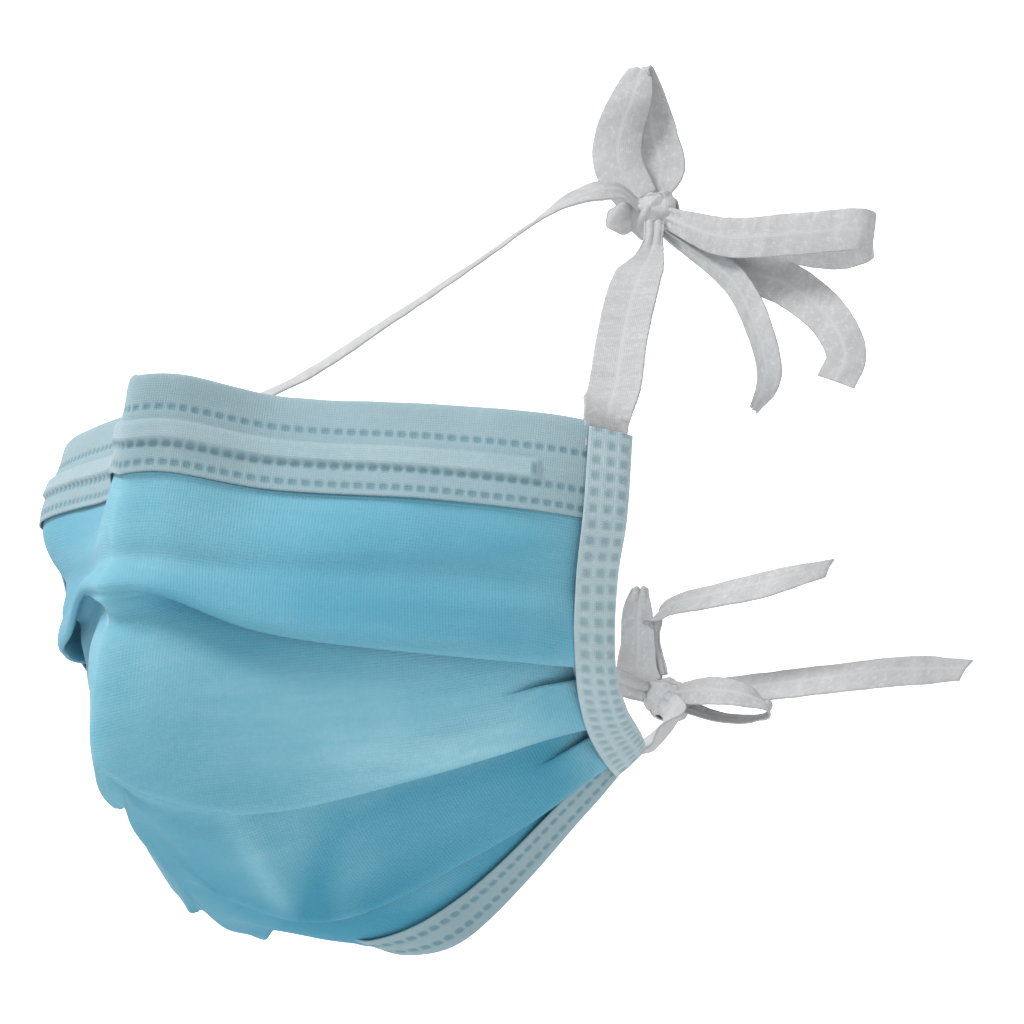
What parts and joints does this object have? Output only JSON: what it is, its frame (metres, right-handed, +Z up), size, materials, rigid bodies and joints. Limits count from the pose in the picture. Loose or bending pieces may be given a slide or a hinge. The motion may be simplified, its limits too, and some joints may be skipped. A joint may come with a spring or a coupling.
{
  "type": "tie-on surgical face mask",
  "caption": "Pleated blue surgical face mask as worn, with pale edge bands and white ties knotted in bows behind the head.",
  "frame": {"origin": "the middle of the mask's top edge, where it sits on the bridge of the wearer's nose", "axes": "+Z up, +X the wearer's left, -Y the way the wearer faces"},
  "size_m": [0.1494, 0.2023, 0.1924],
  "materials": {
    "panel_cloth": "matt nonwoven, light blue",
    "band_cloth": "matt nonwoven, pale blue grey, with weld dots",
    "wire": "satin flat strip",
    "tie_cloth": "matt nonwoven, off white"
  },
  "bodies": {
    "root": {"front_panel": "panel_cloth", "top_band": "band_cloth", "bottom_band": "band_cloth", "side_band_left": "band_cloth", "side_band_right": "band_cloth", "nose_wire": "wire", "upper_tie_left": "tie_cloth", "upper_tie_right": "tie_cloth", "upper_knot": "tie_cloth", "upper_loop_up": "tie_cloth", "upper_loop_side": "tie_cloth", "upper_tail_inner": "tie_cloth", "upper_tail_outer": "tie_cloth", "lower_tie_left": "tie_cloth", "lower_tie_right": "tie_cloth", "lower_knot": "tie_cloth", "lower_loop_up": "tie_cloth", "lower_loop_side": "tie_cloth", "lower_tail_upper": "tie_cloth", "lower_tail_lower": "tie_cloth"}
  },
  "joints": []
}
